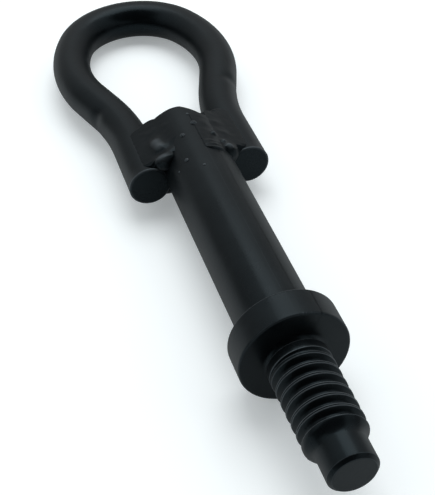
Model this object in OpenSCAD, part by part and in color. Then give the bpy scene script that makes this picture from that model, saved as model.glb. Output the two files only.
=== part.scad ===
// Screw-in tow eye, lying as it comes to rest: the eye's crown and the collar's rear edge touch
// the ground. X runs across the eye, +Y runs from the threaded tip towards the eye, +Z is up.
// Lengths along the screw are measured from the collar's seat face, in millimetres.

/* [Thread] */
// Outer diameter over the thread's crests
thread_d = 16; // [13:0.25:22]
// Distance from one crest to the next
thread_pitch = 3.3; // [2.5:0.05:4.5]
// Depth of the groove below the crests
thread_depth = 1.4; // [0.6:0.05:2]
// Width of the flat on a crest
crest_w = 0.9; // [0.5:0.05:1.5]
// Turning sense: +1 is left-hand, as on the real one, and -1 is right-hand
thread_hand = 1; // [-1, 1]
// From the seat face to the middle of the first full groove, over the top of the screw
groove_first = 7.8; // [6:0.1:10]
// Turns of the groove from its start at the tip to the first full groove
groove_turns = 5.3; // [3:0.1:6]
// From the seat face to the plain land that the groove runs out against
land_end = 4.5; // [3.8:0.1:6]
// Length of the plain neck between the seat face and the thread
neck_l = 1.9; // [1.7:0.1:4]
// Radius of the hollow between the neck and the seat face, so that a tapped boss seats flat
neck_fillet = 1.5; // [0.3:0.1:1.6]
// From the seat face to the end of the threaded barrel
barrel_l = 26.2; // [24:0.1:34]

/* [Pilot] */
// Diameter of the pilot that finds the hole
pilot_d = 12.5; // [9:0.1:13]
// From the seat face to the pilot's flat end
stub_l = 36.1; // [33:0.1:50]
// Radius of the rounding where the barrel turns in to the pilot
shoulder_r = 2.4; // [1:0.1:3]
// Slope of the shoulder against the screw's axis
shoulder_a = 45; // [30:1:60]
// Radius of the hollow where the shoulder meets the pilot
pilot_fillet = 1.2; // [0.4:0.1:2]
// Radius of the pilot's end edge
pilot_edge = 0.8; // [0.2:0.1:2]

/* [Collar] */
// Diameter of the collar
collar_d = 28.4; // [24:0.2:40]
// Thickness of the collar
collar_t = 8.5; // [4:0.1:14]
// Chamfer round the seat face
seat_chamfer = 0.5; // [0.2:0.1:1.5]
// Chamfer round the collar's rear face
rear_chamfer = 0.35; // [0.1:0.05:1.5]

/* [Shank] */
// Diameter of the shank
shank_d = 20; // [18:0.5:22]
// From the seat face to the shank's top end, between the legs
shank_top = 94; // [88:0.5:96]
// Chamfer on the shank's top end
top_chamfer = 0.8; // [0.2:0.1:2]
// Radius of the hollow where the shank meets the collar
shank_fillet = 0.6; // [0.2:0.1:1.5]

/* [Eye] */
// Diameter of the bent bar
bar_d = 12; // [10:0.25:14]
// Clear width inside the eye
eye_w = 34.4; // [30:0.2:44]
// From the seat face to the outside of the crown
eye_reach = 174.9; // [165:0.5:200]
// Half of the angle that the tight crown bend turns through
crown_half = 62; // [45:1:80]
// Centre-line radius of the wide bends at the eye's sides
flank_r = 41; // [34:0.5:50]
// Lean of the straight runs between the side bends and the legs
flank_lean = 18.6; // [14:0.2:24]
// Centre-line radius of the reverse bends above the legs
neck_r = 62; // [40:1:70]
// Distance between the centre lines of the legs
leg_gap = 29.6; // [28:0.2:34]
// How far the legs lie below the shank's centre line
leg_drop = 1.75; // [0:0.05:4]
// From the seat face to the sawn ends of the legs
leg_start = 76.4; // [60:0.5:80]

/* [Welds] */
// Radius of one weld ripple
bead_r = 3.6; // [2.5:0.1:4.5]
// How far the ripples stand above the groove between leg and shank
bead_rise = 1.25; // [0.5:0.05:2]
// Distance from one ripple to the next
bead_pitch = 2.6; // [1.6:0.1:3]
// Length of the leg left bare below a bead
bead_inset = 2; // [1:0.1:8]
// Number of ripples in each bead
bead_count = 5; // [2:1:5]

/* [Hidden] */
$fn = 64;
overcut = 1;

thread_r = thread_d / 2;
root_r = thread_r - thread_depth;
pilot_r = pilot_d / 2;
collar_r = collar_d / 2;
shank_r = shank_d / 2;
bar_r = bar_d / 2;
leg_x = leg_gap / 2;

// Shoulder: a rounding that leaves the barrel, then a straight cone down to the pilot.
round_drop = shoulder_r * (1 - cos(shoulder_a));
round_run = shoulder_r * sin(shoulder_a);
cone_run = (thread_r - round_drop - pilot_r) / tan(shoulder_a);
shoulder_end = barrel_l + round_run + cone_run;
fillet_run = pilot_fillet * tan(shoulder_a / 2);

// Centre line of the eye, from the crown down: tight bend, wide bend, straight run, reverse bend.
side_x = eye_w / 2 + bar_r;
crown_r = (side_x - flank_r * (1 - sin(crown_half))) / sin(crown_half);
crown_y = eye_reach - bar_r;
crown_end = [crown_r * sin(crown_half), crown_y - crown_r * (1 - cos(crown_half))];
flank_centre = crown_end - flank_r * [sin(crown_half), cos(crown_half)];
flank_end = flank_centre + flank_r * [cos(flank_lean), -sin(flank_lean)];
run_l = (flank_end.x - neck_r * (1 - cos(flank_lean)) - leg_x) / sin(flank_lean);
run_end = flank_end - run_l * [sin(flank_lean), cos(flank_lean)];
neck_centre = run_end + neck_r * [cos(flank_lean), -sin(flank_lean)];
leg_end = neck_centre.y;

// The bends keep the bar's radius. What runs into them is a touch slimmer and sinks into their ends.
sink = 0.6;
run_r = bar_r - 0.03;

// Rest: the collar's rear edge and the crown are level on the ground.
rest_rise = collar_r - leg_drop;
rest_run = crown_y - (collar_t - rear_chamfer);
rest_tilt = acos(run_r / norm([rest_rise, rest_run])) - atan2(rest_run, rest_rise);
axis_h = collar_r * cos(rest_tilt) + (collar_t - rear_chamfer) * sin(rest_tilt);
far_y = crown_y * cos(rest_tilt) - leg_drop * sin(rest_tilt) + run_r;
near_y = -(stub_l - pilot_edge) * cos(rest_tilt) - (pilot_r - pilot_edge) * sin(rest_tilt) - pilot_edge;
mid_y = (far_y + near_y) / 2;

// Groove between a leg and the shank, seen along the screw.
leg_dir = [leg_x, -leg_drop] / norm([leg_x, leg_drop]);
leg_far = norm([leg_x, leg_drop]);
valley_out = (leg_far * leg_far + shank_r * shank_r - bar_r * bar_r) / (2 * leg_far);
valley_up = sqrt(shank_r * shank_r - valley_out * valley_out);
bead_first = leg_start + bead_inset + bead_r;

// Thread groove: one polygon per step round the screw, joined into a solid that is cut away.
groove_steps = 36;
groove_half = (thread_pitch - crest_w) / 2;
groove_clear = 0.6;
flank_slope = 0.55;
root_half = 0.3;
run_in = 0.28;
land_turns = (groove_first + groove_half - land_end) / thread_pitch;
groove_all = run_in + groove_turns + land_turns;
groove_count = ceil(groove_all * groove_steps);
top_angle = 90;

// Part of the full depth at a turn counted from the tip: it grows over the run-in, stays full, and
// fades where the land leaves less and less room for the groove.
function groove_depth(turn) =
    min(1, turn / run_in, (groove_all - turn) * thread_pitch / (2 * groove_half));

// Groove outline as (along the screw, radius); the side towards the tip stays where it is.
function groove_outline(depth) =
    let (root = thread_r + 0.05 - (thread_depth + 0.05) * depth,
        edge = thread_r + groove_clear,
        knee = root + 0.2 * thread_depth * depth,
        narrow = max(depth, 0.1),
        side = groove_half + flank_slope * groove_clear,
        knee_half = groove_half - flank_slope * 0.8 * thread_depth)
    [for (p = [[-side, edge], [-knee_half, knee], [-root_half, root],
        [root_half, root], [knee_half, knee], [side, edge]])
        [(p.x + side) * narrow - side, p.y]];

function groove_ring(turn) =
    let (from_top = turn - run_in - groove_turns,
        angle = top_angle + thread_hand * 360 * from_top,
        place = -groove_first + thread_pitch * from_top)
    [for (p = groove_outline(groove_depth(turn)))
        [p.y * cos(angle), place + p.x, p.y * sin(angle)]];

// Puts the screw's own axes, with the seat face at y = 0, where the resting part has them.
module lay() {
    translate([0, -mid_y, axis_h]) rotate([-rest_tilt, 0, 0]) children();
}

// Profile of the turned piece as (radius, along the screw).
module shank_profile() {
    difference() {
        union() {
            polygon([
                [0, -stub_l], [pilot_r - pilot_edge, -stub_l], [pilot_r, pilot_edge - stub_l],
                [pilot_r, -shoulder_end - fillet_run],
                [pilot_r + fillet_run * sin(shoulder_a), -shoulder_end + fillet_run * cos(shoulder_a)],
                [thread_r - round_drop, -barrel_l - round_run], [thread_r, -barrel_l],
                [thread_r, -neck_l], [root_r, -neck_fillet], [root_r + neck_fillet, 0],
                [collar_r - seat_chamfer, 0], [collar_r, seat_chamfer],
                [collar_r, collar_t - rear_chamfer], [collar_r - rear_chamfer, collar_t],
                [shank_r + shank_fillet, collar_t], [shank_r, collar_t + shank_fillet],
                [shank_r, shank_top - top_chamfer], [shank_r - top_chamfer, shank_top], [0, shank_top]
            ]);
            translate([pilot_r - pilot_edge, pilot_edge - stub_l]) circle(pilot_edge);
            translate([thread_r - shoulder_r, -barrel_l]) circle(shoulder_r);
        }
        translate([pilot_r + pilot_fillet, -shoulder_end - fillet_run]) circle(pilot_fillet);
        translate([shank_r + shank_fillet, collar_t + shank_fillet]) circle(shank_fillet);
        translate([root_r + neck_fillet, -neck_fillet]) intersection() {
            circle(neck_fillet);
            translate([-neck_fillet, 0]) square(neck_fillet);
        }
    }
}

module thread_groove() {
    rings = [for (k = [0:groove_count]) groove_ring(groove_all * k / groove_count)];
    n = len(rings[0]);
    sides = [for (k = [0:groove_count - 1], i = [0:n - 1])
        let (j = (i + 1) % n, a = k * n + i, b = k * n + j, c = b + n, d = a + n)
        each thread_hand > 0 ? [[a, b, c], [a, c, d]] : [[a, c, b], [a, d, c]]];
    first = [for (i = [0:n - 1]) thread_hand > 0 ? n - 1 - i : i];
    last = [for (i = [0:n - 1]) groove_count * n + (thread_hand > 0 ? i : n - 1 - i)];
    polyhedron(points = [for (r = rings) each r], faces = concat(sides, [first, last]), convexity = 10);
}

module legs() {
    for (side = [-1, 1])
        translate([side * leg_x, leg_start, -leg_drop]) rotate([-90, 0, 0])
            cylinder(h = leg_end + sink - leg_start, r = run_r);
}

module shank_body() {
    rotate([-90, 0, 0]) rotate_extrude() shank_profile();
}

module threaded_shank() {
    color([0.13, 0.15, 0.16]) lay() difference() {
        shank_body();
        thread_groove();
        legs();
    }
}

// A bend of the bar in the eye's plane, between two angles about its centre.
module bend(centre, radius, from, to, section_r = bar_r) {
    translate([centre.x, centre.y, 0]) rotate([0, 0, from])
        rotate_extrude(angle = to - from) translate([radius, 0]) circle(section_r);
}

// A straight run whose ends sink a little way into the bends next to it.
module straight(from, to) {
    run = to - from;
    translate([from.x, from.y, 0]) rotate([0, 0, atan2(run.y, run.x)])
        translate([-sink, 0, 0]) rotate([0, 90, 0]) cylinder(h = norm(run) + 2 * sink, r = run_r);
}

module eye_loop() {
    crown_sink = sink / crown_r * 180 / PI;
    color([0.13, 0.15, 0.16]) lay() union() {
        legs();
        translate([0, 0, -leg_drop]) {
            bend([0, crown_y - crown_r], crown_r,
                90 - crown_half - crown_sink, 90 + crown_half + crown_sink, run_r);
            for (side = [0, 1]) mirror([side, 0, 0]) {
                bend(flank_centre, flank_r, -flank_lean, 90 - crown_half);
                straight(flank_end, run_end);
                bend(neck_centre, neck_r, 180 - flank_lean, 180);
            }
        }
    }
}

// A row of weld ripples in the groove between one leg and the shank; face is +1 above, -1 below.
module weld(side, face) {
    across = valley_out * leg_dir + face * (valley_up + bead_rise) * [-leg_dir.y, leg_dir.x];
    color([0.15, 0.17, 0.18]) lay() difference() {
        for (k = [0:bead_count - 1])
            translate([side * across.x, bead_first + k * bead_pitch, across.y]) sphere(bead_r);
        legs();
        rotate([-90, 0, 0]) translate([0, 0, leg_start - overcut])
            cylinder(h = shank_top + overcut - leg_start + overcut + bead_r, r = shank_r);
    }
}

module weld_front_left() { weld(-1, 1); }
module weld_front_right() { weld(1, 1); }
module weld_back_left() { weld(-1, -1); }
module weld_back_right() { weld(1, -1); }

threaded_shank();
eye_loop();
weld_front_left();
weld_front_right();
weld_back_left();
weld_back_right();
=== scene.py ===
"""Screw-in tow eye: a rolled screw, a bar bent into an eye, four weld beads and one black dip coat.

Every piece is built on the screw's own axes, with the collar's seat face at y = 0 and the eye at +y,
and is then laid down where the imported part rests.
"""
import math

import bmesh
import bpy
from bpy.props import FloatProperty, FloatVectorProperty, PointerProperty
from mathutils import Matrix, Vector, noise


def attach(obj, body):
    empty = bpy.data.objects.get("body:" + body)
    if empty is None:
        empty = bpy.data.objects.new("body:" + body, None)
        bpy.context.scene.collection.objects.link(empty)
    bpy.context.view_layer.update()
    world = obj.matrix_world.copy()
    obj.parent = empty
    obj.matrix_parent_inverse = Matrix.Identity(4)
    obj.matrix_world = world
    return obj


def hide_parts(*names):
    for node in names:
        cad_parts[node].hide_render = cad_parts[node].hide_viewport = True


bl_info = {
    "name": "Screw-in tow eye",
    "version": (1, 0, 0),
    "blender": (4, 5, 0),
    "location": "3D View > Sidebar > Tow eye",
    "description": "Gives the packed tow eye its rolled thread, bent bar, weld beads and black coat",
    "category": "Object",
}

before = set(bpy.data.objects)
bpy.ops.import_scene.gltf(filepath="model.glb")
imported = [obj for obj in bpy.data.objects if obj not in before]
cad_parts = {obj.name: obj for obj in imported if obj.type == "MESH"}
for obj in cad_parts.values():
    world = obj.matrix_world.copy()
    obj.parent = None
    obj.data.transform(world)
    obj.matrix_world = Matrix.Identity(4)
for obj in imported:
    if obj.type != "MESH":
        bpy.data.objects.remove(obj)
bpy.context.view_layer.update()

MM = 0.001
# Faces of the rolled strip in one turn round the screw, and across it from fold to fold.
AROUND = 128
LANES = 24
# Slope of the faces of the front beads, which lie along both the shank and a leg.
SLOPE = math.radians(22.4)
# Half of the rolled groove, from its middle to the fold in the crest: (distance, depth), in mm.
GROOVE_HALF = (
    (0.0, 1.40), (0.18, 1.39), (0.34, 1.34), (0.48, 1.24), (0.60, 1.10), (0.86, 0.63), (1.11, 0.24),
    (1.18, 0.12), (1.26, 0.04), (1.35, 0.0), (1.44, 0.0), (1.52, 0.03), (1.65, 0.13),
)


def linear(code):
    """Turns an sRGB hex colour into the linear numbers that the shaders read."""
    parts = [int(code[k:k + 2], 16) / 255 for k in (1, 3, 5)]
    return tuple(c / 12.92 if c <= 0.04045 else ((c + 0.055) / 1.055) ** 2.4 for c in parts) + (1.0,)


def length(name, size, description):
    """A length that is written in millimetres and kept in metres."""
    return FloatProperty(
        name=name, description=description, default=size * MM, unit="LENGTH", precision=5
    )


def turn(name, size, description):
    """An angle that is written in degrees and kept in radians."""
    return FloatProperty(
        name=name, description=description, default=math.radians(size), subtype="ANGLE"
    )


def colour(name, code, description):
    """A surface colour that is written as sRGB hex."""
    return FloatVectorProperty(
        name=name, description=description, default=linear(code), size=4, min=0, max=1, subtype="COLOR"
    )


class ScrewSizes(bpy.types.PropertyGroup):
    """Sizes of the turned and rolled piece."""

    thread_d: length("Thread diameter", 16, "Outer diameter over the thread's crests")
    pitch: length("Thread pitch", 3.3, "Distance from one crest to the next")
    groove_first: length("First groove", 7.8, "From the seat face to the first full groove, on top")
    neck_l: length("Neck length", 1.9, "Plain neck between the seat face and the thread")
    barrel_l: length("Barrel length", 25.5, "From the seat face to the end of the threaded barrel")
    shoulder_r: length("Shoulder rounding", 1.3, "Rounding where the barrel turns in to the pilot")
    shoulder_a: turn("Shoulder slope", 45, "Slope of the shoulder against the screw's axis")
    pilot_d: length("Pilot diameter", 12.5, "Diameter of the pilot that finds the hole")
    pilot_fillet: length("Pilot hollow", 3.0, "Radius of the hollow where the shoulder meets the pilot")
    pilot_edge: length("Pilot edge", 0.8, "Rounding of the pilot's end edge")
    stub_l: length("Stub length", 36.1, "From the seat face to the pilot's flat end")
    collar_d: length("Collar diameter", 28.4, "Diameter of the collar")
    collar_t: length("Collar thickness", 8.5, "Thickness of the collar")
    seat_chamfer: length("Seat chamfer", 0.5, "Chamfer round the seat face")
    rear_chamfer: length("Rear chamfer", 0.35, "Chamfer round the collar's rear face")
    shank_d: length("Shank diameter", 20, "Diameter of the shank")
    shank_top: length("Shank top", 94, "From the seat face to the shank's top end")
    shank_fillet: length("Shank hollow", 0.6, "Radius of the hollow where the shank meets the collar")
    groove_turns: FloatProperty(
        name="Full turns", description="Turns of the groove at its full depth",
        default=5.3, min=1, max=8,
    )
    run_in: FloatProperty(
        name="Run-in", description="Turns in which the groove starts at the tip",
        default=0.28, min=0.05, max=1,
    )
    land_end: length("Land end", 4.5, "From the seat face to the plain land where the groove ends")


class EyeSizes(bpy.types.PropertyGroup):
    """Sizes of the bent bar."""

    bar_d: length("Bar diameter", 12, "Diameter of the bent bar")
    eye_w: length("Eye width", 34.4, "Clear width inside the eye")
    eye_reach: length("Eye reach", 174.9, "From the seat face to the outside of the crown")
    crown_half: turn("Crown half angle", 62, "Half of the angle of the tight crown bend")
    flank_r: length("Side bend radius", 41, "Centre-line radius of the wide side bends")
    flank_lean: turn("Run lean", 18.6, "Lean of the straight runs below the side bends")
    neck_r: length("Reverse bend radius", 62, "Centre-line radius of the bends above the legs")
    leg_gap: length("Leg spacing", 29.6, "Distance between the centre lines of the legs")
    leg_drop: length("Leg drop", 1.75, "How far the legs lie below the shank's centre line")
    leg_start: length("Leg start", 76.4, "From the seat face to the sawn ends of the legs")


class WeldSizes(bpy.types.PropertyGroup):
    """Places of the weld beads along the screw, and their ripple."""

    left_start: length("Left bead start", 76.6, "Lower end of the front left bead")
    left_end: length("Left bead end", 96.4, "Upper end of the front left bead")
    right_start: length("Right bead start", 72.4, "Lower end of the front right bead")
    right_end: length("Right bead end", 95.5, "Upper end of the front right bead")
    back_start: length("Back bead start", 78, "Lower end of the back beads")
    back_end: length("Back bead end", 94, "Upper end of the back beads")
    ripple: length("Ripple", 1.9, "Distance from one ripple of a back bead to the next")


class CoatFinish(bpy.types.PropertyGroup):
    """Colours and sheen of the black dip coat."""

    shade: colour("Coat", "#070A0C", "Black dip coat on the turned and bent steel")
    # Painted highlight: this paler grey is painted on sharp edges, thread crests and weld swells, and it
    # is also the colour of real dust and rub marks.
    rub_and_highlight: colour("Thin coat", "#474D51", "The same coat where an edge has been rubbed grey")
    weld: colour("Weld coat", "#080B0D", "The coat over the weld beads")
    roughness: FloatProperty(
        name="Roughness", description="Roughness of the cured coat",
        default=0.27, min=0, max=1, subtype="FACTOR",
    )


class StageSettings(bpy.types.PropertyGroup):
    """Camera, floor and lights."""

    azimuth: turn("Camera azimuth", 16.09, "Turn of the view from the screw's axis")
    elevation: turn("Camera elevation", 41.67, "Height of the view above the screw's axis")
    roll: turn("Camera roll", 2.53, "Turn of the picture about its middle")
    distance: length("Camera distance", 304.05, "From the camera to the plane through the aim")
    aim: length("Camera aim", 53.333, "From the seat face to the point aimed at")
    aside: length("Picture aside", 2.08, "How far right of the picture's middle the aim lies")
    above: length("Picture above", 7.361, "How far above the picture's middle the aim lies")
    lens: FloatProperty(
        name="Lens", description="Focal length for a 36 mm long side",
        default=81.74, unit="CAMERA", min=10,
    )
    floor: colour("Floor", "#EAF0F2", "Matt floor, very pale and slightly cool")
    floor_glow: FloatProperty(
        name="Floor glow", description="Light that the floor adds for the camera and in gloss",
        default=0.34, min=0, max=1, subtype="FACTOR",
    )
    lamp_size: FloatProperty(
        name="Lamp size", description="Width of the soft lamp overhead",
        default=0.72, min=0.01, unit="LENGTH",
    )
    lamp_power: FloatProperty(
        name="Lamp power", description="Power of the soft lamp overhead, in watts", default=4.5, min=0
    )


def lay():
    """Matrix from the screw's own axes to the resting part, level on its collar and crown."""
    screw, eye = bpy.context.scene.towing_screw, bpy.context.scene.towing_eye
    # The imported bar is 0.03 mm thinner in radius along its straight runs and at the crown it rests on.
    bar_r = eye.bar_d / 2 - 0.03 * MM
    crown_y = eye.eye_reach - eye.bar_d / 2
    collar_r, rear = screw.collar_d / 2, screw.collar_t - screw.rear_chamfer
    rise, run = collar_r - eye.leg_drop, crown_y - rear
    tilt = math.acos(bar_r / math.hypot(rise, run)) - math.atan2(run, rise)
    axis_h = collar_r * math.cos(tilt) + rear * math.sin(tilt)
    far = crown_y * math.cos(tilt) - eye.leg_drop * math.sin(tilt) + bar_r
    edge, pilot_r = screw.pilot_edge, screw.pilot_d / 2
    near = -(screw.stub_l - edge) * math.cos(tilt) - (pilot_r - edge) * math.sin(tilt) - edge
    return Matrix.Translation((0, -(far + near) / 2, axis_h)) @ Matrix.Rotation(-tilt, 4, "X")


def clear_selection():
    """Leaves object mode with nothing selected."""
    if bpy.context.mode != "OBJECT":
        bpy.ops.object.mode_set(mode="OBJECT")
    bpy.ops.object.select_all(action="DESELECT")


def clamp(*values):
    """The smallest of some values, kept between 0 and 1."""
    return max(0.0, min(1.0, *values))


def on_slope(side, x, z):
    """How far out and how far up a place across the screw lies on a front bead's slope."""
    return (
        side * x * math.cos(SLOPE) - z * math.sin(SLOPE),
        side * x * math.sin(SLOPE) + z * math.cos(SLOPE),
    )


def off_slope(side, out, up):
    """The place across the screw, as x and z, of a point out and up on a front bead's slope."""
    return (
        side * (out * math.cos(SLOPE) + up * math.sin(SLOPE)),
        up * math.cos(SLOPE) - out * math.sin(SLOPE),
    )


def arc(radius, place, size, start, end, steps):
    """Rings of a rounding as (radius, place along the screw), between two angles in degrees."""
    return [
        (radius + size * math.cos(math.radians(start + (end - start) * k / steps)),
         place + size * math.sin(math.radians(start + (end - start) * k / steps)))
        for k in range(steps + 1)
    ]


def turn_rings(rings, start):
    """Extrudes the selected end loop from ring to ring, as a lathe would."""
    radius, place = start
    for ring_r, ring_y in rings:
        bpy.ops.mesh.extrude_edges_move(TRANSFORM_OT_translate={"value": (0, ring_y - place, 0)})
        factor = ring_r / radius
        bpy.ops.transform.resize(value=(factor, 1, factor), center_override=(0, ring_y, 0))
        radius, place = ring_r, ring_y
    bpy.ops.mesh.merge(type="CENTER")


def mark_edges(obj):
    """Keeps on each point how sharply the skin bulges there, in 1/mm, as the attribute bulge.

    The coat's shader reads it to paint a painted highlight, a paler grey, on the sharp edges.
    """
    mesh = obj.data
    spots = [vertex.co.copy() for vertex in mesh.vertices]
    outward = [vertex.normal.copy() for vertex in mesh.vertices]
    total, count = [0.0] * len(spots), [0] * len(spots)
    for edge in mesh.edges:
        a, b = edge.vertices
        way = spots[b] - spots[a]
        for point, away in ((a, -way), (b, way)):
            total[point] += 2 * away.dot(outward[point]) / way.length_squared * MM
            count[point] += 1
    bulge = mesh.attributes.new("bulge", "FLOAT", "POINT")
    bulge.data.foreach_set("value", [t / max(1, c) for t, c in zip(total, count)])


def finish_piece(obj, node_names, material, sharp=30):
    """Lays the piece down, smooths it, gives it its coat and ties it to the part."""
    clear_selection()
    obj.select_set(True)
    bpy.context.view_layer.objects.active = obj
    obj.matrix_world = lay()
    bpy.ops.object.transform_apply(location=True, rotation=True, scale=True)
    mark_edges(obj)
    bpy.ops.object.shade_smooth_by_angle(angle=math.radians(sharp))
    obj.data.materials.clear()
    obj.data.materials.append(material)
    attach(obj, "root")
    if node_names:
        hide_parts(*node_names)


def add_node(tree, kind, values=None, **settings):
    """Adds one node with its settings, and sets or links its inputs."""
    made = tree.nodes.new(kind)
    for key, value in settings.items():
        setattr(made, key, value)
    for key, value in (values or {}).items():
        if isinstance(value, bpy.types.NodeSocket):
            tree.links.new(value, made.inputs[key])
        else:
            made.inputs[key].default_value = value
    return made


def dip_coat(name, shade, peel, grain, grain_scale, specular, sharpest):
    """Cathodic dip coat on steel: near black, satin, with a fine orange peel over the metal's own grain.

    The coat is an even film of little thickness, so the steel's tool marks still show through it as a
    faint relief.
    Where the skin bulges as sharply as the last number says, in 1/mm, it is painted a paler grey as a
    painted highlight, and it starts to pale at 0.29 of that. The grain is drawn out along the axes of a
    small scale.
    """
    finish = bpy.context.scene.towing_finish
    rub_and_highlight, roughness = finish.rub_and_highlight, finish.roughness
    material = bpy.data.materials.get(name) or bpy.data.materials.new(name)
    material.use_nodes = True
    tree = material.node_tree
    tree.nodes.clear()
    place = add_node(tree, "ShaderNodeTexCoord").outputs["Object"]
    # Clouds about 9 mm wide: the coat's thickness varies slowly, and with it its tone.
    cloud = add_node(
        tree, "ShaderNodeTexNoise",
        {"Vector": place, "Scale": 1 / (9 * MM), "Detail": 3.0, "Roughness": 0.55},
    ).outputs["Fac"]
    # Orange peel, about 0.9 mm from one dimple to the next.
    dimples = add_node(
        tree, "ShaderNodeTexNoise",
        {"Vector": place, "Scale": 1 / (0.9 * MM), "Detail": 2.0, "Roughness": 0.5},
    ).outputs["Fac"]
    stretched = add_node(
        tree, "ShaderNodeMapping", {"Vector": place, "Scale": grain_scale}, vector_type="POINT"
    ).outputs["Vector"]
    # The steel's own grain: turned or drawn lines about 0.5 mm apart, drawn that coarse to show.
    lines = add_node(
        tree, "ShaderNodeTexNoise", {"Vector": stretched, "Scale": 1 / (0.5 * MM), "Detail": 3.0}
    ).outputs["Fac"]
    # Fine dust and rub marks, about 0.35 mm wide and far apart.
    specks = add_node(
        tree, "ShaderNodeTexNoise", {"Vector": place, "Scale": 1 / (0.35 * MM), "Detail": 1.0}
    ).outputs["Fac"]
    rubbed = add_node(
        tree, "ShaderNodeMapRange",
        {"Value": specks, "From Min": 0.72, "From Max": 0.80, "To Min": 0.0, "To Max": 0.12},
    ).outputs["Result"]
    # Painted highlight: edges, thread crests and a front bead's swells are painted toward the paler grey
    # by their bulge.
    bulge = add_node(tree, "ShaderNodeAttribute", attribute_name="bulge").outputs["Fac"]
    edge = add_node(
        tree, "ShaderNodeMapRange",
        {"Value": bulge, "From Min": 0.29 * sharpest, "From Max": sharpest,
         "To Min": 0.0, "To Max": 0.85},
    ).outputs["Result"]
    # The paler grey marks real rub marks where the specks fall, and painted highlight on the edges.
    tone = add_node(
        tree, "ShaderNodeMath", {0: rubbed, 1: edge}, operation="MAXIMUM"
    ).outputs["Value"]
    clouded = add_node(
        tree, "ShaderNodeMapRange",
        {"Value": cloud, "From Min": 0.35, "From Max": 0.75, "To Min": 0.0, "To Max": 0.05},
    ).outputs["Result"]
    tone = add_node(
        tree, "ShaderNodeMath", {0: tone, 1: clouded}, operation="ADD", use_clamp=True
    ).outputs["Value"]
    base = add_node(
        tree, "ShaderNodeMix", {"Factor": tone, "A": shade, "B": rub_and_highlight}, data_type="RGBA"
    )
    rough = add_node(
        tree, "ShaderNodeMapRange",
        {"Value": cloud, "From Min": 0.3, "From Max": 0.7,
         "To Min": roughness - 0.05, "To Max": roughness + 0.05},
    ).outputs["Result"]
    # Seen at a slant the peel scatters more, so the coat's rim stays dim against a white floor.
    slant = add_node(tree, "ShaderNodeLayerWeight", {"Blend": 0.5}).outputs["Facing"]
    rough = add_node(
        tree, "ShaderNodeMapRange",
        {"Value": slant, "From Min": 0.25, "From Max": 0.95, "To Min": rough, "To Max": 0.62},
    ).outputs["Result"]
    peeled = add_node(
        tree, "ShaderNodeBump", {"Height": dimples, "Strength": peel, "Distance": 0.05 * MM}
    ).outputs["Normal"]
    relief = add_node(
        tree, "ShaderNodeBump",
        {"Height": lines, "Strength": grain, "Distance": 0.03 * MM, "Normal": peeled},
    ).outputs["Normal"]
    surface = add_node(
        tree, "ShaderNodeBsdfPrincipled",
        {"Roughness": rough, "Normal": relief, "Specular IOR Level": specular, "IOR": 1.5,
         "Specular Tint": linear("#C6E6F4")},
    )
    tree.links.new(base.outputs["Result"], surface.inputs["Base Color"])
    output = add_node(tree, "ShaderNodeOutputMaterial")
    tree.links.new(surface.outputs["BSDF"], output.inputs["Surface"])
    return material


def shank_coat():
    """Coat over turned steel: its faint rings run round the screw."""
    shade = bpy.context.scene.towing_finish.shade
    return dip_coat("coated_turned_steel", shade, 0.25, 0.15, (0.06, 1.0, 0.06), 0.13, 2.4)


def bar_coat():
    """Coat over cold-drawn bar: its faint lines run along the bar."""
    shade = bpy.context.scene.towing_finish.shade
    return dip_coat("coated_drawn_bar", shade, 0.3, 0.15, (1.0, 0.08, 1.0), 0.13, 1.1)


def weld_coat():
    """Coat over weld metal: the same film on the bead's uneven skin, painted paler grey on its ripples
    as a painted highlight.
    """
    shade = bpy.context.scene.towing_finish.weld
    return dip_coat("coated_weld_bead", shade, 0.3, 0.2, (1.0, 1.0, 1.0), 0.10, 1.6)


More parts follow.
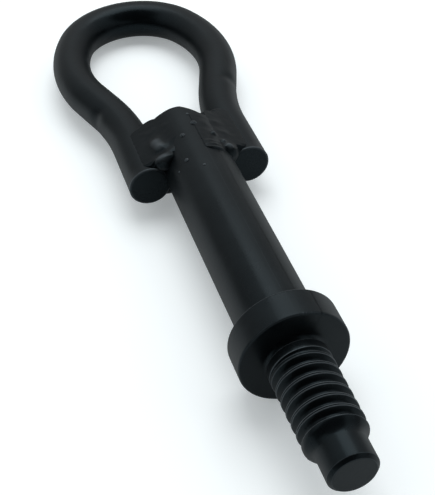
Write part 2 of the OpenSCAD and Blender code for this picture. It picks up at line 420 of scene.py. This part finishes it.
class TOWING_OT_screw(bpy.types.Operator):
    """Rolls the thread and turns the pilot, collar and shank from its two ends"""

    bl_idname = "towing.screw"
    bl_label = "Threaded shank"

    def groove_depth(self, screw, turns):
        """Share of the full depth at a number of turns past the first full groove."""
        begun = turns + screw.groove_turns + screw.run_in
        # From lip to lip: the groove runs out over this much of its way toward the land.
        width = 2.4 * MM
        room = screw.groove_first + width / 2 - screw.land_end - screw.pitch * turns
        return clamp(begun / screw.run_in, room / width)

    def plain_radius(self, screw, place):
        """Radius of the blank at a place along it, before the thread is rolled."""
        thread_r, pilot_r, slope = screw.thread_d / 2, screw.pilot_d / 2, screw.shoulder_a
        drop = screw.shoulder_r * (1 - math.cos(slope))
        run = screw.shoulder_r * math.sin(slope)
        past = -screw.barrel_l - place
        if past <= 0:
            return thread_r
        if past <= run:
            return thread_r - screw.shoulder_r + math.sqrt(screw.shoulder_r ** 2 - past ** 2)
        cone = (thread_r - drop - pilot_r) / math.tan(slope)
        left = run + cone + screw.pilot_fillet * math.tan(slope / 2) - past
        if left <= 0:
            return pilot_r
        if left < screw.pilot_fillet * math.sin(slope):
            return pilot_r + screw.pilot_fillet - math.sqrt(screw.pilot_fillet ** 2 - left ** 2)
        return thread_r - drop - (past - run) * math.tan(slope)

    def take_end(self, obj, place):
        """Selects the open edge at one end of the rolled tube and makes it level."""
        shape = bmesh.from_edit_mesh(obj.data)
        for vertex in shape.verts:
            vertex.select = vertex.is_boundary and abs(vertex.co.y - place) < 0.05 * MM
            if vertex.select:
                vertex.co.y = place
        shape.select_flush_mode()
        bmesh.update_edit_mesh(obj.data)

    def lean_top(self, obj, screw):
        """Slants the shank's cropped top end: it is longer on the left, as in the photograph."""
        shape = bmesh.from_edit_mesh(obj.data)
        # The slant grows from here to the top, and stays level further out than the reach.
        begin, reach = 80 * MM, 6.0 * MM
        right_fall, left_rise, longer = -0.7, -0.15, 2.0 * MM
        for vertex in shape.verts:
            near = (vertex.co.y - begin) / (screw.shank_top - begin)
            if near > 0:
                aside = max(-reach, min(reach, vertex.co.x))
                lean = right_fall * aside if aside > 0 else left_rise * aside
                # Waves about 6 mm long.
                wave = 0.25 * MM * noise.noise(vertex.co * 170)
                vertex.co.y += min(1.0, near) ** 2 * (longer + lean + wave)
        bmesh.update_edit_mesh(obj.data)

    def roll_thread(self, obj, screw, first, last):
        """Winds the flat strip round the screw: its long edges meet in the fold of each crest."""
        pitch, half = screw.pitch, screw.pitch / 2
        # From the middle of the groove to its lips, which close in where the groove runs out.
        edge = 1.18 * MM
        for vertex in obj.data.vertices:
            lane = round((vertex.co.y + 0.5) * LANES) - LANES // 2
            turns = first + (vertex.co.x + 0.5) * (last - first)
            reach, depth = GROOVE_HALF[abs(lane)]
            reach = math.copysign(reach * MM, lane) if lane else 0.0
            share = self.groove_depth(screw, turns)
            beside = self.groove_depth(screw, turns + math.copysign(1, lane or 1))
            narrow = max(share, 0.1)
            if abs(reach) <= edge:
                along = (reach + edge) * narrow - edge
            elif reach > 0:
                room = half + edge * (1 - 2 * narrow)
                along = edge * (2 * narrow - 1) + (reach - edge) * room / (half - edge)
            else:
                along = reach
            fold = abs(lane) >= LANES // 2 - 2
            sink = depth * MM * (min(share, beside) if fold else share)
            place = -screw.groove_first + pitch * turns + along
            blank = self.plain_radius(screw, place)
            radius = min(blank, screw.thread_d / 2 - sink) if not fold else blank - sink
            angle = math.radians(90) + 2 * math.pi * turns
            vertex.co = Vector((radius * math.cos(angle), place, radius * math.sin(angle)))

    def pilot_rings(self, screw):
        """Rings of the pilot, its broken edge and its flat end, as (radius, place)."""
        pilot_r, tip = screw.pilot_d / 2, -screw.stub_l
        # The edge slopes at 45 degrees between two roundings; 0.414 is the tangent of half of that.
        broken, soft = screw.pilot_edge + 0.1 * MM, 0.4 * MM
        rings = [(pilot_r, tip + broken + 0.5 * MM)]
        rings += arc(pilot_r - soft, tip + broken + 0.414 * soft, soft, 0, -45, 3)
        rings += arc(pilot_r - broken - 0.414 * soft, tip + soft, soft, -45, -90, 3)
        return rings + [(r, tip) for r in (pilot_r - broken - 0.5 * MM, 4 * MM, 2 * MM, 0.4 * MM)]

    def shank_rings(self, screw):
        """Rings of the neck, the collar and the shank with its rounded top, as (radius, place)."""
        thread_r, collar_r, shank_r = screw.thread_d / 2, screw.collar_d / 2, screw.shank_d / 2
        root_r, neck, top = thread_r - GROOVE_HALF[0][1] * MM, -screw.neck_l, screw.shank_top
        seat, rear, back = screw.seat_chamfer, screw.rear_chamfer, screw.collar_t
        lip, throat, hollow, crop = 0.25 * MM, 1.5 * MM, screw.shank_fillet, 0.8 * MM
        rings = [(thread_r, neck - 0.3 * MM)]
        rings += arc(thread_r - lip, neck - lip, lip, 0, 60, 4)
        rings += [(root_r + 0.5 * MM, neck + 0.2 * MM)]
        rings += arc(root_r + throat, -throat, -throat, 0, -90, 6)
        rings += [(root_r + 1.8 * MM, 0), (collar_r - seat - 0.5 * MM, 0)]
        rings += arc(collar_r - seat, seat, seat, -90, 0, 5)
        rings += [(collar_r, seat + 0.3 * MM), (collar_r, back - rear - 0.3 * MM)]
        rings += arc(collar_r - rear, back - rear, rear, 0, 90, 5)
        rings += [(collar_r - rear - 0.4 * MM, back), (shank_r + hollow + 0.2 * MM, back)]
        rings += arc(shank_r + hollow, back + hollow, -hollow, 90, 0, 5)
        rings += [(shank_r, back + place * MM) for place in (1.5, 12, 24, 36, 48, 60, 68)]
        rings += [(shank_r, top - 1.1 * MM)]
        rings += arc(shank_r - crop, top - crop, crop, 0, 90, 6)
        return rings + [(r, top) for r in (shank_r - 1.1 * MM, 6 * MM, 3 * MM, 0.5 * MM)]

    def execute(self, context):
        screw = context.scene.towing_screw
        clear_selection()
        # The rolled tube is cut level at these two places, and the rest is turned on from there.
        ends = (-31.4 * MM, -2.4 * MM)
        first = math.floor((ends[0] + screw.groove_first) / screw.pitch) - 1
        last = math.ceil((ends[1] + screw.groove_first) / screw.pitch) + 1
        bpy.ops.mesh.primitive_grid_add(
            x_subdivisions=AROUND * (last - first), y_subdivisions=LANES, size=1, location=(0, 0, 0)
        )
        obj = context.object
        obj.name = "rolled_screw"
        self.roll_thread(obj, screw, first, last)
        bpy.ops.object.mode_set(mode="EDIT")
        bpy.ops.mesh.select_mode(type="VERT")
        bpy.ops.mesh.select_all(action="SELECT")
        bpy.ops.mesh.remove_doubles(threshold=0.004 * MM)
        for place, outward in ((ends[0], -1), (ends[1], 1)):
            bpy.ops.mesh.select_all(action="SELECT")
            bpy.ops.mesh.bisect(
                plane_co=(0, place, 0), plane_no=(0, outward, 0), clear_outer=True, threshold=0.0005 * MM
            )
        bpy.ops.mesh.select_all(action="SELECT")
        bpy.ops.mesh.remove_doubles(threshold=0.01 * MM)
        for place, rings in ((ends[0], self.pilot_rings(screw)), (ends[1], self.shank_rings(screw))):
            bpy.ops.mesh.select_all(action="DESELECT")
            bpy.ops.mesh.select_mode(type="VERT")
            self.take_end(obj, place)
            bpy.ops.mesh.select_mode(type="EDGE")
            turn_rings(rings, (self.plain_radius(screw, place), place))
            bpy.ops.mesh.select_mode(type="VERT")
        self.lean_top(obj, screw)
        bpy.ops.mesh.select_all(action="SELECT")
        bpy.ops.mesh.normals_make_consistent(inside=False)
        finish_piece(obj, ["threaded_shank"], shank_coat())
        return {"FINISHED"}


class TOWING_OT_eye(bpy.types.Operator):
    """Bends the bar: half of it is spun from bend to bend and then mirrored"""

    bl_idname = "towing.eye"
    bl_label = "Eye and legs"

    def press_marks(self, obj, eye):
        """Shallow hollows on the outside of the reverse bends, where the bending tool held the bar."""
        # Depth, half length and half width of a mark in mm; then where each is, and which way it faces.
        deep, long, wide = 0.5, 2.1, 3.6
        for x, along, tilt in ((17.4, 115.2, 40), (-16.6, 111.6, 160)):
            tilt = math.radians(tilt)
            way = Vector((math.cos(tilt), 0, math.sin(tilt)))
            spot = Vector((x * MM, along * MM, -eye.leg_drop)) + eye.bar_d / 2 * way
            for vertex in obj.data.vertices:
                away = (vertex.co - spot) / MM
                across = math.hypot(away.x, away.z)
                if abs(away.y) < 8 and across < 9:
                    sunk = deep * MM * math.exp(-(away.y / long) ** 2 - (across / wide) ** 2)
                    vertex.co -= sunk * way

    def execute(self, context):
        eye = context.scene.towing_eye
        bar_r, side_x = eye.bar_d / 2, eye.eye_w / 2 + eye.bar_d / 2
        half, lean = eye.crown_half, eye.flank_lean
        crown_r = (side_x - eye.flank_r * (1 - math.sin(half))) / math.sin(half)
        crown = Vector((0, eye.eye_reach - bar_r - crown_r, -eye.leg_drop))
        crown_end = crown + crown_r * Vector((math.sin(half), math.cos(half), 0))
        flank = crown_end - eye.flank_r * Vector((math.sin(half), math.cos(half), 0))
        flank_end = flank + eye.flank_r * Vector((math.cos(lean), -math.sin(lean), 0))
        leg_x = eye.leg_gap / 2
        run = (flank_end.x - eye.neck_r * (1 - math.cos(lean)) - leg_x) / math.sin(lean)
        run_way = -Vector((math.sin(lean), math.cos(lean), 0))
        run_end = flank_end + run * run_way
        neck = run_end + eye.neck_r * Vector((math.cos(lean), -math.sin(lean), 0))

        clear_selection()
        bpy.ops.mesh.primitive_circle_add(
            vertices=72, radius=bar_r, location=(0, eye.eye_reach - bar_r, -eye.leg_drop),
            rotation=(0, math.radians(90), 0), fill_type="NOTHING",
        )
        obj = context.object
        obj.name = "bent_eye"
        bpy.ops.object.transform_apply(location=True, rotation=True, scale=True)
        bpy.ops.object.mode_set(mode="EDIT")
        bpy.ops.mesh.select_mode(type="EDGE")
        bpy.ops.mesh.select_all(action="SELECT")
        up = (0, 0, 1)
        bpy.ops.mesh.spin(steps=20, angle=half, center=crown, axis=up)
        bpy.ops.mesh.spin(steps=22, angle=math.pi / 2 + lean - half, center=flank, axis=up)
        run_cuts, leg_cuts = 20, 6
        for _ in range(run_cuts):
            bpy.ops.mesh.extrude_edges_move(TRANSFORM_OT_translate={"value": run / run_cuts * run_way})
        bpy.ops.mesh.spin(steps=32, angle=-lean, center=neck, axis=up)
        # The last 1.0 mm of the leg is left to the rims of its sawn end.
        leg = neck.y - eye.leg_start - 1.0 * MM
        for _ in range(leg_cuts):
            bpy.ops.mesh.extrude_edges_move(TRANSFORM_OT_translate={"value": (0, -leg / leg_cuts, 0)})
        centre = (leg_x, eye.leg_start, -eye.leg_drop)
        # A small burr stands out, the edge rounds in, and the end is flat: (step, radius).
        rims = (
            (0.3 * MM, bar_r + 0.05 * MM), (0.2 * MM, bar_r + 0.07 * MM),
            (0.2 * MM, bar_r - 0.01 * MM), (0.15 * MM, bar_r - 0.16 * MM),
            (0.1 * MM, bar_r - 0.35 * MM), (0.05 * MM, bar_r - 0.55 * MM),
            (0, bar_r - 1.0 * MM), (0, 3 * MM), (0, 0.5 * MM),
        )
        last_r = bar_r
        for step, radius in rims:
            bpy.ops.mesh.extrude_edges_move(TRANSFORM_OT_translate={"value": (0, -step, 0)})
            factor = radius / last_r
            bpy.ops.transform.resize(value=(factor, 1, factor), center_override=centre)
            last_r = radius
        bpy.ops.mesh.merge(type="CENTER")
        bpy.ops.object.mode_set(mode="OBJECT")
        mirror = obj.modifiers.new("other half", "MIRROR")
        mirror.use_axis = (True, False, False)
        mirror.use_mirror_merge = True
        mirror.merge_threshold = 0.01 * MM
        bpy.ops.object.modifier_apply(modifier=mirror.name)
        self.press_marks(obj, eye)
        bpy.ops.object.mode_set(mode="EDIT")
        bpy.ops.mesh.select_all(action="SELECT")
        bpy.ops.mesh.normals_make_consistent(inside=False)
        finish_piece(obj, ["eye_loop"], bar_coat())
        return {"FINISHED"}


class TOWING_OT_welds(bpy.types.Operator):
    """Lays the four weld beads drop by drop and fuses each into one skin"""

    bl_idname = "towing.welds"
    bl_label = "Weld beads"

    def lay_drop(self, place, size, tilt):
        """Adds one flattened drop at a place, turned about the screw's axis."""
        bpy.ops.mesh.primitive_uv_sphere_add(segments=18, ring_count=12, radius=1, location=(0, 0, 0))
        bpy.ops.transform.resize(value=size, center_override=(0, 0, 0))
        shape = bmesh.from_edit_mesh(bpy.context.object.data)
        turned = Matrix.Translation(place) @ Matrix.Rotation(tilt, 4, "Y")
        for vertex in shape.verts:
            if vertex.select:
                vertex.co = turned @ vertex.co
        bmesh.update_edit_mesh(bpy.context.object.data)

    def row(self, side, out, up, start, end, size):
        """Overlapping drops along one run of a bead; out and up are measured on the bead's slope."""
        spacing, unsteady = 1.1 * MM, 0.2 * MM
        count = round((end - start) / spacing)
        made = []
        for k in range(count):
            sway = noise.noise(Vector((k * 0.73, out * 900, start * 90)))
            along = start + size[1] + (end - start - 2 * size[1]) * k / (count - 1)
            x, z = off_slope(side, out, up)
            made.append((Vector((x + unsteady * sway, along, z)), size, side * SLOPE))
        return made

    def rows(self, side, start, end, runs):
        """All drops of a front bead, from (out, up, past start, past end, radii) of each run, in mm."""
        made = []
        for out, up, first, last, size in runs:
            size = tuple(radius * MM for radius in size)
            made += self.row(side, out * MM, up * MM, start + first * MM, end + last * MM, size)
        return made

    def swell(self, out, along, swells):
        """How far the last drops to freeze stand out of the face at a place, in mm.

        Each swell is (out, along, half width, half length, height), in mm.
        """
        raised = 0
        for place, middle, wide, long, high in swells:
            away = ((out / MM - place) / wide) ** 2 + ((along / MM - middle) / long) ** 2
            raised += high * math.exp(-away)
        return raised

    def press(self, out, up, along, dip, lip, low, raised):
        """Height of a point of the raw metal once the bead's face is level from the shank to the leg."""
        screw, eye = bpy.context.scene.towing_screw, bpy.context.scene.towing_eye
        shank_r, bar_r = screw.shank_d / 2, eye.bar_d / 2
        leg_out, leg_up = on_slope(1, eye.leg_gap / 2, -eye.leg_drop)
        shank = math.sqrt(max(0, shank_r ** 2 - out ** 2))
        leg = leg_up + math.sqrt(max(0, bar_r ** 2 - (out - leg_out) ** 2))
        part = clamp(out / leg_out)
        face = shank_r + (leg_up + bar_r - shank_r) * part - 4 * dip * part * (1 - part)
        # A face ends flush: it dives at this slope under the leg, and under the shank if it has no lip.
        dive, on_shank, on_leg = 0.1, 1.2 * MM, 1.0 * MM
        if lip:
            face = max(face if out > 0 else 0, shank + lip)
        elif out < on_shank:
            face = min(face, shank - dive * (on_shank - out))
        if out > leg_out - on_leg:
            face = min(face, leg - dive * (out - leg_out + on_leg))
        # Toward its near end the metal thins out over the leg, and over the shank where it has no lip.
        over_leg = clamp((out - 9.4 * MM) / (1.6 * MM))
        face -= 0.3 * max(0, low - along) * over_leg
        if not lip:
            over_shank = clamp((5.2 * MM - out) / (3.2 * MM))
            face -= 0.16 * max(0, low + 4.4 * MM - along) * over_shank
        face += raised * MM
        # What stands proud of the face is squeezed to a twentieth, so that it isn't quite even.
        return face + 0.05 * (up - face) if up > face else up

    def fuse(self, name, node_names, drops, wobble, material, face=None):
        """Joins drops into one closed skin, eases it, presses it to its face and makes it uneven.

        A face is (side, dip, lip, low, swells): its side of the screw, how far it sags between shank and
        leg, how thick it laps over the shank if it does, where it starts to thin out, and its swells.
        """
        clear_selection()
        place, size, tilt = drops[0]
        bpy.ops.mesh.primitive_uv_sphere_add(segments=18, ring_count=12, radius=1, location=(0, 0, 0))
        obj = bpy.context.object
        obj.name = name
        bpy.ops.transform.resize(value=size, center_override=(0, 0, 0))
        obj.matrix_world = Matrix.Translation(place) @ Matrix.Rotation(tilt, 4, "Y") @ obj.matrix_world
        bpy.ops.object.transform_apply(location=True, rotation=True, scale=True)
        bpy.ops.object.mode_set(mode="EDIT")
        for place, size, tilt in drops[1:]:
            bpy.ops.mesh.select_all(action="DESELECT")
            self.lay_drop(place, size, tilt)
        bpy.ops.object.mode_set(mode="OBJECT")
        skin = obj.modifiers.new("skin", "REMESH")
        skin.mode = "VOXEL"
        skin.voxel_size = 0.18 * MM
        bpy.ops.object.modifier_apply(modifier=skin.name)
        ease = obj.modifiers.new("ease", "SMOOTH")
        ease.factor, ease.iterations = 0.5, 6
        bpy.ops.object.modifier_apply(modifier=ease.name)
        spots = [vertex.co.copy() for vertex in obj.data.vertices]
        outward = [vertex.normal.copy() for vertex in obj.data.vertices]
        raised = [0.0] * len(spots)
        # Length of the skin's waves, and how far before a face's flush ends they fade out.
        wave, fade = 1.6 * MM, 3 * MM
        for k, (vertex, spot, way) in enumerate(zip(obj.data.vertices, spots, outward)):
            even = 1
            if face:
                side, dip, lip, low, swells = face
                out, up = on_slope(side, spot.x, spot.z)
                raised[k] = self.swell(out, spot.y, swells)
                x, z = off_slope(side, out, self.press(out, up, spot.y, dip, lip, low, raised[k]))
                spot = Vector((x, spot.y, z))
                even = clamp((12.5 * MM - out) / fade, (out - (-5 * MM if lip else 1 * MM)) / fade)
            vertex.co = spot + even * wobble * noise.noise(spot / wave) * way
        finish_piece(obj, node_names, material, sharp=60)
        if face:
            # A front bead's swells alone are painted paler grey as painted highlights: fully where one
            # stands 1 mm high.
            obj.data.attributes["bulge"].data.foreach_set("value", [1.6 * high for high in raised])

    def execute(self, context):
        material = weld_coat()
        weld = context.scene.towing_weld
        left = self.rows(-1, weld.left_start, weld.left_end, (
            (2.4, 7.9, 1.2, 0, (3.4, 2.4, 3.5)),
            (6.8, 8.2, -0.8, 0.2, (3.5, 1.9, 2.7)),
            (10.4, 7.0, 0.4, -0.3, (4.0, 2.4, 3.8)),
        ))
        swells = (
            (7.0, 85.0, 1.9, 2.0, 0.8), (6.3, 82.4, 1.8, 1.5, 0.8), (7.0, 77.5, 2.4, 1.6, 0.9),
            (3.9, 79.4, 1.4, 1.0, 0.25), (2.4, 90.0, 1.3, 1.2, 0.1), (7.5, 90.5, 2.0, 1.5, 0.12),
        )
        face = (-1, 0.2 * MM, 0, 78.8 * MM, swells)
        self.fuse("bead_front_left", ["weld_front_left"], left, 0.05 * MM, material, face)
        right = self.rows(1, weld.right_start, weld.right_end, (
            (0.6, 7.6, 0, -3, (3.9, 2.4, 3.8)),
            (5.6, 6.8, 1.4, 0, (3.9, 2.4, 3.8)),
            (9.8, 6.6, 4, 2.5, (4.2, 2.4, 3.6)),
        ))
        swells = (
            (2.2, 81.2, 0.9, 0.8, 0.8), (4.5, 78.2, 0.9, 0.8, 0.7), (5.4, 75.9, 1.4, 1.2, 1.0),
            (0.0, 75.4, 2.6, 0.5, 0.2), (0.6, 73.4, 2.8, 0.6, 0.5), (-0.4, 77.0, 2.2, 0.6, 0.15),
            (0.8, 86.5, 1.4, 1.6, 0.2), (5.0, 88.5, 1.6, 1.4, 0.25), (6.5, 83.0, 1.4, 1.6, 0.25),
        )
        face = (1, 0.45 * MM, 0.2 * MM, 78.4 * MM, swells)
        self.fuse("bead_front_right", ["weld_front_right"], right, 0.05 * MM, material, face)
        inset = 1.6 * MM
        run = weld.back_end - weld.back_start - 2 * inset
        for side, name in ((-1, "back_left"), (1, "back_right")):
            count = round((weld.back_end - weld.back_start) / weld.ripple)
            back = []
            for k in range(count):
                along = weld.back_start + inset + run * k / (count - 1)
                sway = noise.noise(Vector((k * 0.73, side, 0.5)))
                place = Vector((side * (9.8 + 0.2 * sway) * MM, along, -4.9 * MM))
                back.append((place, (3.8 * MM, 2.3 * MM, (2.7 + 0.2 * sway) * MM), -side * SLOPE))
            self.fuse("bead_" + name, ["weld_" + name], back, 0.12 * MM, material)
        self.spatter(context, material)
        return {"FINISHED"}

    def spatter(self, context, material):
        """Small drops that flew from the arc and froze on the shank: (degrees, place, radius), in mm."""
        shank_r = context.scene.towing_screw.shank_d / 2
        flung = (
            (108, 82.0, 0.8), (131, 86.4, 0.6), (120, 71.6, 0.7), (98, 66.4, 0.5),
            (81.5, 86.2, 1.0), (84, 91.0, 0.5), (140, 70.0, 0.4), (250, 80.0, 0.6),
            (285, 84.0, 0.5), (262, 73.0, 0.45), (300, 70.0, 0.5),
        )
        drops = []
        for degrees, place, size in flung:
            angle = math.radians(degrees)
            drops.append((
                Vector((shank_r * math.cos(angle), place * MM, shank_r * math.sin(angle))),
                (size * MM, size * MM, 0.6 * size * MM), math.radians(90) - angle,
            ))
        self.fuse("weld_spatter", [], drops, 0.02 * MM, material)


class TOWING_OT_stage(bpy.types.Operator):
    """Sets the floor, the soft lights, the world and the camera"""

    bl_idname = "towing.stage"
    bl_label = "Stage"

    def aim_camera(self, context):
        """Puts the camera where the photograph was taken from."""
        stage = context.scene.towing_stage
        az, el, roll = stage.azimuth, stage.elevation, stage.roll
        ahead = Vector((math.sin(az) * math.cos(el), math.cos(az) * math.cos(el), -math.sin(el)))
        right = Vector((math.cos(az), -math.sin(az), 0))
        down = ahead.cross(right)
        right, down = (
            math.cos(roll) * right + math.sin(roll) * down,
            math.cos(roll) * down - math.sin(roll) * right,
        )
        aim = Vector((0, stage.aim, 0))
        place = aim - stage.aside * right + stage.above * down - stage.distance * ahead
        data = bpy.data.cameras.new("camera")
        data.lens, data.sensor_width, data.sensor_fit = stage.lens, 36, "AUTO"
        data.clip_start, data.clip_end = 0.01, 20
        camera = bpy.data.objects.new("camera", data)
        context.scene.collection.objects.link(camera)
        turned = Matrix((right, -down, -ahead)).transposed().to_4x4()
        turned.translation = place
        camera.matrix_world = lay() @ turned
        context.scene.camera = camera

    def lay_floor(self, context):
        """A wide, flat, matt sheet under the part, so pale that the camera and gloss see white."""
        clear_selection()
        bpy.ops.mesh.primitive_plane_add(size=3.2, location=(0, 0, 0))
        floor = context.object
        floor.name = "studio_floor"
        material = bpy.data.materials.new("matt_white_floor")
        material.use_nodes = True
        tree = material.node_tree
        tree.nodes.clear()
        ray = add_node(tree, "ShaderNodeLightPath")
        seen = add_node(
            tree, "ShaderNodeMath", {0: ray.outputs["Is Camera Ray"], 1: ray.outputs["Is Glossy Ray"]},
            operation="MAXIMUM",
        )
        seen = add_node(
            tree, "ShaderNodeMath", {0: seen.outputs["Value"], 1: ray.outputs["Is Transmission Ray"]},
            operation="MAXIMUM",
        )
        paint = add_node(
            tree, "ShaderNodeBsdfDiffuse", {"Color": context.scene.towing_stage.floor}
        )
        lift = add_node(
            tree, "ShaderNodeMath", {0: seen.outputs["Value"], 1: context.scene.towing_stage.floor_glow},
            operation="MULTIPLY",
        )
        glow = add_node(
            tree, "ShaderNodeEmission",
            {"Color": context.scene.towing_stage.floor, "Strength": lift.outputs["Value"]},
        )
        both = add_node(
            tree, "ShaderNodeAddShader", {0: paint.outputs["BSDF"], 1: glow.outputs["Emission"]}
        )
        add_node(tree, "ShaderNodeOutputMaterial", {"Surface": both.outputs["Shader"]})
        floor.data.materials.append(material)

    def dark_panel(self, tree, way, toward, rim, inside, dim):
        """Share of the world's light left by a round dark panel, between the cosines of its soft rim."""
        facing = add_node(
            tree, "ShaderNodeVectorMath", {0: way, 1: Vector(toward).normalized()},
            operation="DOT_PRODUCT",
        ).outputs["Value"]
        return add_node(
            tree, "ShaderNodeMapRange",
            {"Value": facing, "From Min": rim, "From Max": inside, "To Min": 1.0, "To Max": dim},
            interpolation_type="SMOOTHSTEP",
        ).outputs["Result"]

    def light_world(self, context):
        """Pale all round and overhead, and dim in front, where the camera stands, and at its left."""
        world = bpy.data.worlds.new("studio_world")
        context.scene.world = world
        world.use_nodes = True
        tree = world.node_tree
        tree.nodes.clear()
        way = add_node(tree, "ShaderNodeTexCoord").outputs["Generated"]
        front = self.dark_panel(tree, way, (-0.12, -0.50, 0.86), 0.70, 0.84, 0.03)
        left = self.dark_panel(tree, way, (-0.62, -0.74, 0.26), 0.78, 0.92, 0.15)
        dark = add_node(
            tree, "ShaderNodeMath", {0: front, 1: left}, operation="MULTIPLY"
        ).outputs["Value"]
        # The light grows from a third at the horizon to a little over full overhead.
        height = add_node(tree, "ShaderNodeSeparateXYZ", {0: way}).outputs["Z"]
        pale = add_node(
            tree, "ShaderNodeMapRange",
            {"Value": height, "From Min": 0.1, "From Max": 0.75, "To Min": 0.36, "To Max": 1.25},
        ).outputs["Result"]
        level = add_node(
            tree, "ShaderNodeMath", {0: dark, 1: pale}, operation="MULTIPLY"
        ).outputs["Value"]
        sky = add_node(tree, "ShaderNodeBackground", {"Color": (1, 1, 1, 1), "Strength": level})
        add_node(tree, "ShaderNodeOutputWorld", {"Surface": sky.outputs["Background"]})

    def hang_lamp(self, context, name, place, size, power):
        """One soft square lamp that looks at the part, 10 mm above the floor."""
        data = bpy.data.lights.new(name, "AREA")
        data.shape, data.size, data.energy = "SQUARE", size, power
        lamp = bpy.data.objects.new(name, data)
        context.scene.collection.objects.link(lamp)
        lamp.visible_camera = False
        lamp.location = place
        lamp.rotation_mode = "QUATERNION"
        lamp.rotation_quaternion = (Vector((0, 0, 0.01)) - Vector(place)).to_track_quat("-Z", "Y")

    def execute(self, context):
        stage = context.scene.towing_stage
        self.lay_floor(context)
        self.light_world(context)
        self.hang_lamp(
            context, "soft_lamp_overhead", (0.14, 0.45, 0.92), stage.lamp_size, stage.lamp_power
        )
        self.aim_camera(context)
        return {"FINISHED"}


class TOWING_PT_pieces(bpy.types.Panel):
    """Lists the pieces in the sidebar"""

    bl_idname = "TOWING_PT_pieces"
    bl_label = "Tow eye"
    bl_space_type = "VIEW_3D"
    bl_region_type = "UI"
    bl_category = "Tow eye"

    def draw(self, context):
        for piece in PIECES:
            self.layout.operator(piece.bl_idname)


GROUPS = {
    "towing_screw": ScrewSizes,
    "towing_eye": EyeSizes,
    "towing_weld": WeldSizes,
    "towing_finish": CoatFinish,
    "towing_stage": StageSettings,
}
PIECES = (TOWING_OT_stage, TOWING_OT_screw, TOWING_OT_eye, TOWING_OT_welds)


def register():
    """Registers the groups, the operators and the panel."""
    for name, group in GROUPS.items():
        bpy.utils.register_class(group)
        setattr(bpy.types.Scene, name, PointerProperty(type=group))
    for piece in PIECES + (TOWING_PT_pieces,):
        bpy.utils.register_class(piece)


def unregister():
    """Takes them out again."""
    for piece in reversed(PIECES + (TOWING_PT_pieces,)):
        bpy.utils.unregister_class(piece)
    for name, group in reversed(GROUPS.items()):
        delattr(bpy.types.Scene, name)
        bpy.utils.unregister_class(group)


def main():
    """Makes every piece in order."""
    register()
    bpy.context.scene.view_settings.view_transform = "Standard"
    bpy.ops.towing.stage()
    bpy.ops.towing.screw()
    bpy.ops.towing.eye()
    bpy.ops.towing.welds()


if __name__ == "__main__":
    main()
